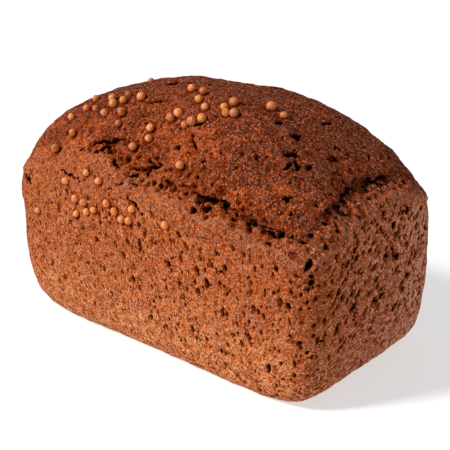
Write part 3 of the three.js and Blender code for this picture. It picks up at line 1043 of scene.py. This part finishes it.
hollowFinish = {
    "hole": (0.0, 0.2),
    "core": (0.2, 0.75),
    "coreDark": {"wallLarge": 1.4, "wallSmall": 1.1, "endLarge": 1.7, "endSmall": 1.3,
                 "crownPit": 1.3, "crownSmall": 0.9, "tornPit": 0.9},
    "coreBlack": 0.9,                                # darker than this it starts to be black
    "fine": (0.9 * mm, 0.50),                        # cell and radius of the finest pores
    "fineRagged": (0.7 * mm, 0.3 * mm),
    "fineShare": (0.50, 0.65),                       # on the walls, on the crown
    "fineCalm": (0.3, 0.5),                          # how much fainter on the crown and the band
    "dent": (1.7 * mm, 2.0, 0.7),
    "dentRagged": (1.1 * mm, 0.4 * mm),
    "dentStep": (0.12, 0.34),
    "dentCalm": 0.4,                                 # how much fainter on the ends
    "crumb": (-0.35, 0.1),
    "crumbCalm": 0.5,
    "deep": (1.6 * mm, 4.0 * mm),                    # depth of the tear
    "underCrumb": 0.8,
    "underDeep": 0.2,
    # the deep gap under the crown's lip gets black painted shade
    "cave": (0.45, 0.8),
    "pocket": (-0.15, 0.1),
    "pocketFill": (0.25, 0.85),
}


def findHollows(place, zone, noise, opened, depth):
    # the pores, the finest pores, the dents, the hollows of the torn crumb and the gap under the
    # crown's lip, all of which get painted shade
    finish = hollowFinish
    crown, end, trough = zone["crownTone"], zone["end"], zone["trough"]
    hole = 0.0
    core = 0.0
    for name, share in opened.items():
        hole = share.ramp(*finish["hole"]) + hole
        core = share.ramp(*finish["core"]) * finish["coreDark"][name] + core
    onCrown, onBand = finish["fineCalm"]
    fine = pores(wobble(place, finish["fineRagged"]), *finish["fine"],
                 crown.between(*finish["fineShare"]))
    fine = fine * (1 - crown * onCrown) * (1 - zone["band"] * onBand)
    upright, slanted = (lumps(way, *finish["dent"]).ramp(*finish["dentStep"])
                        for way in stretched(wobble(place, finish["dentRagged"])))
    dent = upright * (1 - end) + slanted * end
    dent = dent * (1 - zone["crown"]) * (1 - trough) * (1 - end * finish["dentCalm"])
    hollow = noise["crumb"].fall(*finish["crumb"]) * tornShare(zone, "tone").atMost(1.0)
    deep = depth.ramp(*finish["deep"])
    under = zone["intoGap"] - noise["crumb"] * finish["underCrumb"] + deep * finish["underDeep"]
    filled = noise["pocket"].ramp(*finish["pocket"]).between(*finish["pocketFill"])
    return {
        "hole": hole,
        "core": core,
        "coreBlack": (core - finish["coreBlack"]).atLeast(0.0),
        "fine": fine,
        "dent": dent,
        "hollow": hollow * (1 - zone["endGap"] * finish["crumbCalm"]),
        "cave": trough * under.ramp(*finish["cave"]) * deep * (1 - filled * zone["endGap"]),
    }


# how much each hollow adds to the rust brown rims, to the dark insides and to the black: the dark
# and the black are painted shade, and round each seed's seat a painted contact shadow
shadeWeights = {
    "rim": {"hole": 1, "scar": 2, "seat": 1, "fine": 0.7, "dent": 0.6, "hollow": 1},
    "dark": {"core": 1, "scar": 2, "fine": 0.35, "dent": 0.25, "seat": 0.6, "hollow": 0.5},
    "black": {"scar": 1, "cave": 1, "hollow": 0.2, "coreBlack": 0.8},
}
crustFinish = {
    "gapCrumb": 0.25,                                # share of the crumb's colour in the gap
    "tornCrumb": 0.6,                                # and on all that is torn
    "mostCrumb": 0.85,
    "groove": 0.12,                                  # painted shade that the grooves between grains add to rims
    "rim": (0.0, 0.8),
    "rimShare": 0.8,
    "dark": (0.35, 0.9),
    "darkShare": 0.93,
    "black": (0.3, 0.7),
    "blackShare": 0.95,
    "edgeHighlight": 0.45,
    "glaze": (0.05, 0.4),
    "glazeShine": 0.5,
    "roughness": (0.65, 0.38),                       # of the dull crust and of the glaze
    # heights of the finest relief, and the share of each on the walls and on the crown
    "crest": (1.4 * mm, (1.0, 0.55)),
    "crownCrest": (0.6 * mm, (0.0, 1.0)),
    "grain": (0.35 * mm, (0.7, 0.85)),
    "poreHeight": 0.8 * mm,
    "dentHeight": 0.4 * mm,
}


def makeCrustMaterial():
    finish = crustFinish
    material, tree, shader = newMaterial("crust")
    place = attributeOf(tree, "smoothPlace")
    aboveTear, aboveFoot, gap = splitVector(attributeOf(tree, "tearPlace"))
    depth, scar, seat = splitVector(attributeOf(tree, "tearDepth"))
    zone = zones(place, {"aboveTear": aboveTear, "aboveFoot": aboveFoot, "depth": depth,
                         "gap": gap})
    noise = {name: lumps(place, *settings) for name, settings in crustNoise.items()}
    crownShare = zone["crownTone"]
    whole = mixColours(crownShare, wallColour(place, zone, noise), crownColour(place, noise))
    crumb = mixColours(zone["endGap"], crustColours["crumb"], crustColours["endCrumb"])
    torn = tornShare(zone, "tone").atMost(1.0) * finish["tornCrumb"]
    torn = (zone["trough"] * finish["gapCrumb"] + torn).atMost(finish["mostCrumb"])
    whole = mixColours(torn, whole, crumb)
    grain, whole = grainColours(place, zone, noise, whole)

    # pores have a rust brown rim; painted shade makes them dark brown inside, and only the deepest
    # places black
    hollows = findHollows(place, zone, noise, openPores(place, zone), depth)
    hollows.update({"scar": scar, "seat": seat})
    rim, dark, black = (weighed(hollows, shadeWeights[name])
                        for name in ("rim", "dark", "black"))
    rim = (rim + (1 - grain) * finish["groove"]).ramp(*finish["rim"])
    rimTone = mixColours(zone["end"] * zone["wall"], crustColours["poreRim"],
                         crustColours["endRust"])
    whole = mixColours(rim * finish["rimShare"], whole, rimTone)
    dark = dark.ramp(*finish["dark"])
    whole = layOver(whole, dark * finish["darkShare"], "poreDark")
    whole = layOver(whole, black.ramp(*finish["black"]) * finish["blackShare"], "black")
    # a painted highlight along the rim's top edge
    whole = layOver(whole, zone["rimHighlight"] * (1 - dark) * finish["edgeHighlight"], "edgeHighlight")
    plug(tree, whole, shader.inputs["Base Color"])

    # a thin baked glaze catches the light here and there
    glaze = noise["glaze"].ramp(*finish["glaze"]) * (1 - rim)
    plug(tree, glaze * finish["glazeShine"], shader.inputs["Specular IOR Level"])
    plug(tree, glaze.ramp(0, 1, *finish["roughness"]), shader.inputs["Roughness"])

    height = (hollows["fine"] + hollows["hole"]) * -finish["poreHeight"]
    height = height - hollows["dent"] * finish["dentHeight"]
    for name, bumps in (("crest", noise["crest"]), ("crownCrest", noise["crownCrest"]),
                        ("grain", grain)):
        size, shares = finish[name]
        height = height + bumps * crownShare.between(*shares) * size
    plugBump(tree, height, shader)
    return material


seedForm = {
    "radius": (1.3 * mm, 1.8 * mm),
    "proudOnCrown": 0.5,       # of the radius, from the crust to the seed's centre
    "proudOnWall": 0.1,
    "wallRoll": 76,            # a seed rolled further than this lies on the wall
    "drawSeed": 11,
    "seat": (1.7, 0.5 * mm),   # the hollow round a seed: half width in radii, depth
    "oval": (0.84, 1.0),
    "twist": 1.7,
    "toneSeed": 29,
    "toneOnCrown": (0.3, 0.9),
    # seeds on the wall get a paler tone: painted light
    "litToneOnWall": (0.7, 1.0),
    "ribs": 11,
    "ribDepth": 0.03,
    "ribSway": (9, 0.5),       # how fast and how far the ribs sway from pole to pole
    "body": 0.955,             # of the radius, without the ribs
    "tip": (0.86, 1.0, 0.0, 0.1),    # towards the poles: from where to where, and how much more
    "segments": 33,
    "rings": 12,
}

# rings of seeds: x along the loaf in millimetres, roll from the top towards the front in
# degrees, how many, the ring's radius in millimetres and its turn in degrees
sprinkles = [
    (-48, 49, 1, 0, 0), (-39, 41, 2, 2.6, 175), (-41, 34, 1, 0, 0), (-29.5, 44, 1, 0, 0),
    (-29, 35, 2, 1.7, 55), (-21, 42, 1, 0, 0), (-24, 31, 2, 1.7, 85), (-17, 29, 1, 0, 0),
    (-26.5, 7, 1, 0, 0), (-19.5, 49, 1, 0, 0), (-40.5, 59, 1, 0, 0), (-47, 70, 1, 0, 0),
    (-3.5, 50, 2, 2.1, 70), (-7.5, 59, 1, 0, 0), (4, 38, 2, 1.4, 120), (2.5, 18, 1, 0, 0),
    (9.5, 23, 2, 2.2, 73), (16, 34, 2, 2.3, 65), (12, 41, 2, 1.4, 155), (17, 64, 1, 0, 0),
    (24, 26, 2, 3.4, 80), (25, 28, 2, 2.8, 15), (33, 10, 1, 0, 0), (38, 10, 1, 0, 0),
    (-26, 79, 1, 0, 0), (-19, 82, 1, 0, 0), (-37.5, 86, 1, 0, 0), (-30.5, 95, 2, 2.6, 5),
    (-33, 103, 1, 0, 0), (-24.5, 99, 2, 2.2, 165), (-13, 94, 2, 1.9, 35), (-6, 99, 2, 1.8, 0),
    (-2.5, 92, 1, 0, 0), (14.5, 95, 1, 0, 0), (-57.5, 108, 1, 0, 0), (-34, -42, 3, 3.6, 40),
    (-13, -48, 4, 4, 10), (9, -43, 3, 3.4, 75), (25, -57, 2, 2.4, 20), (-46, -58, 2, 3, 130),
    (-3, -72, 2, 3, 60),
]


def findOnCrust(tree, seed):
    # where a ray from outside meets the crust under a seed, and the crust's normal there
    angle = math.radians(seed["roll"])
    out = Vector((0, -math.sin(angle), math.cos(angle)))
    start = Vector((seed["x"], 0, loafForm["rimHeight"])) + out * (2 * loafForm["halfLength"])
    return tree.ray_cast(start, -out)[:2]


def drawSeeds():
    form = seedForm
    draw = makeDraw(form["drawSeed"])
    drawTone = makeDraw(form["toneSeed"])
    seeds = []
    for x, roll, count, spread, turn in sprinkles:
        for number in range(count):
            angle = math.radians(turn + 360 * number / count)
            away = spread * mm
            radius = draw(*form["radius"])
            turnX, turnZ = draw(0, math.pi), draw(0, math.pi)
            seedRoll = roll + math.degrees(away * math.sin(angle) / loafForm["crownRise"])
            onWall = seedRoll > form["wallRoll"]
            seeds.append({
                "x": x * mm + away * math.cos(angle),
                "roll": seedRoll,
                "proud": form["proudOnWall"] if onWall else form["proudOnCrown"],
                "radius": radius,
                "turn": (turnX, turnX * form["twist"], turnZ),
                "size": (radius, radius * drawTone(*form["oval"]), radius),
                "tone": drawTone(*form["litToneOnWall" if onWall else "toneOnCrown"]),
            })
    return seeds


def seedSeats(seeds):
    # where the crust gives way under each seed: place, half width and depth
    search = BVHTree.FromObject(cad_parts["loaf"], bpy.context.evaluated_depsgraph_get())
    wide, deep = seedForm["seat"]
    return [(findOnCrust(search, seed)[0], seed["radius"] * wide, deep) for seed in seeds]


def placeSeeds(seeds, crust):
    graph = bpy.context.evaluated_depsgraph_get()
    crustSearch = BVHTree.FromObject(crust, graph)
    cadSearch = BVHTree.FromObject(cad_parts["loaf"], graph)
    for seed in seeds:
        point = findOnCrust(crustSearch, seed)[0]
        normal = findOnCrust(cadSearch, seed)[1]
        seed["place"] = point + normal * (seed["radius"] * seed["proud"] + seedForm["seat"][1])


def ribWave(place, ribs):
    # 1 on the ribs of a seed and -1 in the grooves between them
    x, y, z = splitVector(place)
    speed, sway = seedForm["ribSway"]
    return (y.calculate("ARCTAN2", x) * ribs + (z * speed).sine() * sway).cosine()


def makeSeedTree(material):
    form = seedForm
    tree, points, sizes = newTree("seedTree", ("Ribs", "Rib depth"))
    ball = tree.nodes.new("GeometryNodeMeshUVSphere")
    ball.inputs["Segments"].default_value = form["segments"]
    ball.inputs["Rings"].default_value = form["rings"]
    place = addNode(tree, "GeometryNodeInputPosition", {})
    marked = addNode(tree, "GeometryNodeStoreNamedAttribute",
                     {"Geometry": Field(tree, ball.outputs["Mesh"]), "Name": "seedPlace",
                      "Value": place}, data_type="FLOAT_VECTOR", domain="POINT")
    z = splitVector(place)[2]
    waist = (1 - z ** 2).atLeast(0.0)
    rib = ribWave(place, sizes["Ribs"]) * sizes["Rib depth"] * waist
    scale = rib + abs(z).ramp(*form["tip"]) + form["body"]
    shaped = addNode(tree, "GeometryNodeSetPosition",
                     {0: marked, "Position": scaleVector(place, scale)})
    turn, size = (addNode(tree, "GeometryNodeInputNamedAttribute", {0: name},
                          data_type="FLOAT_VECTOR") for name in ("turn", "size"))
    scattered = addNode(tree, "GeometryNodeInstanceOnPoints",
                        {"Points": points, "Instance": shaped, "Rotation": turn, "Scale": size})
    endTree(tree, scattered, material)
    return tree


def makeSeeds(seeds, crust, material):
    placeSeeds(seeds, crust)
    points = pointCloud("seedPlaces", seeds, {"size": "FLOAT_VECTOR", "turn": "FLOAT_VECTOR",
                                              "tone": "FLOAT"})
    coriander = growMesh("coriander", points, makeSeedTree(material),
                         {"Ribs": seedForm["ribs"], "Rib depth": seedForm["ribDepth"]},
                         "coriander")
    shadeSmooth(coriander)
    print("coriander:", len(seeds), "seeds,", len(coriander.data.polygons), "faces")
    return coriander


seedColours = {
    "husk": (0.95, 0.295, 0.058),
    "huskDark": (0.34, 0.056, 0.009),
    # painted highlight on the ribs, painted shade in the grooves between them; dark freckles take
    # the grooves' colour
    "ribHighlight": (0.98, 0.46, 0.17),
    "groove": (0.24, 0.038, 0.005),
}
# start and end of a smooth step, then the share of the colour it goes from and to
seedFinish = {
    "ribHighlight": (0.3, 1.0, 0.0, 0.3),
    "groove": (-1.0, -0.5, 0.3, 0.0),
    "freckles": (0.0, 0.5, 0.0, 0.5),
    "freckle": (0.5, 3.0, 0.65),       # size in radii, detail and roughness
    "roughness": 0.33,
    "specular": 0.6,
    "ribHeight": 0.04 * mm,
    "freckleHeight": 0.08 * mm,
}


def makeSeedMaterial():
    finish = seedFinish
    material, tree, shader = newMaterial("coriander")
    local = attributeOf(tree, "seedPlace")
    tone = attributeOf(tree, "tone", 2)
    rib = ribWave(local, seedForm["ribs"])
    freckle = lumps(local, *finish["freckle"])
    whole = mixColours(tone, seedColours["huskDark"], seedColours["husk"])
    # painted highlights on the ribs, painted shade in the grooves, and dark freckles
    for wave, step, name in ((rib, "ribHighlight", "ribHighlight"), (rib, "groove", "groove"),
                             (freckle, "freckles", "groove")):
        whole = mixColours(wave.ramp(*finish[step]), whole, seedColours[name])
    plug(tree, whole, shader.inputs["Base Color"])
    shader.inputs["Roughness"].default_value = finish["roughness"]
    shader.inputs["Specular IOR Level"].default_value = finish["specular"]
    plugBump(tree, rib * finish["ribHeight"] + freckle * finish["freckleHeight"], shader)
    return material


cameraForm = {
    "azimuth": 41.78,         # degrees from the front towards the right end
    "elevation": 18.06,
    "distance": 333.3 * mm,
    "aimRight": 4.65 * mm,
    "aimHeight": 40.44 * mm,
    "tilt": -0.76,
    "lens": 69.27,
    "clip": (0.01, 20),
}


def facing(form):
    # the way from the loaf to something at an azimuth and an elevation
    azimuth, elevation = math.radians(form["azimuth"]), math.radians(form["elevation"])
    return Vector((math.sin(azimuth) * math.cos(elevation),
                   -math.cos(azimuth) * math.cos(elevation), math.sin(elevation)))


def makeCamera():
    form = cameraForm
    azimuth, tilt = math.radians(form["azimuth"]), math.radians(form["tilt"])
    back = facing(form)
    right = Vector((math.cos(azimuth), math.sin(azimuth), 0))
    up = back.cross(right)
    aim = right * form["aimRight"] + Vector((0, 0, form["aimHeight"]))
    tiltedRight = right * math.cos(tilt) + up * math.sin(tilt)
    tiltedUp = up * math.cos(tilt) - right * math.sin(tilt)
    data = bpy.data.cameras.new("camera")
    data.lens = form["lens"]
    data.clip_start, data.clip_end = form["clip"]
    camera = addPiece("camera", data)
    turned = Matrix((tiltedRight, tiltedUp, back)).transposed().to_4x4()
    camera.matrix_world = Matrix.Translation(aim + back * form["distance"]) @ turned
    bpy.context.scene.camera = camera


lightForm = {
    "azimuth": -32,           # of the sun, from the front towards the right end
    "elevation": 42,
    "strength": 3.55,
    "softness": 10,
    "sky": 0.31,
    "skyTint": (1.0, 0.98, 0.97),
}
floorForm = {
    "reach": 8.0,
    "tone": (0.45, 0.45, 0.45),
    "roughness": 0.9,
    "glow": 0.58,
}


def makeFloor():
    form = floorForm
    reach = form["reach"]
    mesh = bpy.data.meshes.new("floor")
    mesh.from_pydata([(-reach, -reach, 0), (reach, -reach, 0), (reach, reach, 0),
                      (-reach, reach, 0)], [], [(0, 1, 2, 3)])
    floor = addPiece("floor", mesh)
    material, tree, shader = newMaterial("floor")
    shader.inputs["Base Color"].default_value = (*form["tone"], 1.0)
    shader.inputs["Roughness"].default_value = form["roughness"]
    shader.inputs["Specular IOR Level"].default_value = 0.0
    shader.inputs["Emission Color"].default_value = (1.0, 1.0, 1.0, 1.0)
    shader.inputs["Emission Strength"].default_value = form["glow"]
    mesh.materials.append(material)


def makeLight():
    form = lightForm
    world = bpy.data.worlds.new("studio")
    world.use_nodes = True
    background = world.node_tree.nodes["Background"]
    background.inputs["Color"].default_value = (*form["skyTint"], 1.0)
    background.inputs["Strength"].default_value = form["sky"]
    bpy.context.scene.world = world

    data = bpy.data.lights.new("key", "SUN")
    data.energy = form["strength"]
    data.angle = math.radians(form["softness"])
    light = addPiece("key", data)
    light.rotation_euler = facing(form).to_track_quat("Z", "Y").to_euler()
    bpy.context.scene.view_settings.view_transform = "Standard"


print("camera and studio")
makeCamera()
makeFloor()
makeLight()

print("crust")
seeds = drawSeeds()
crust = makeCrust(makeCrustMaterial(), seedSeats(seeds))

print("coriander")
coriander = makeSeeds(seeds, crust, makeSeedMaterial())

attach(crust, "root")
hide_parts("loaf")
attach(coriander, "root")
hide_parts("loaf")
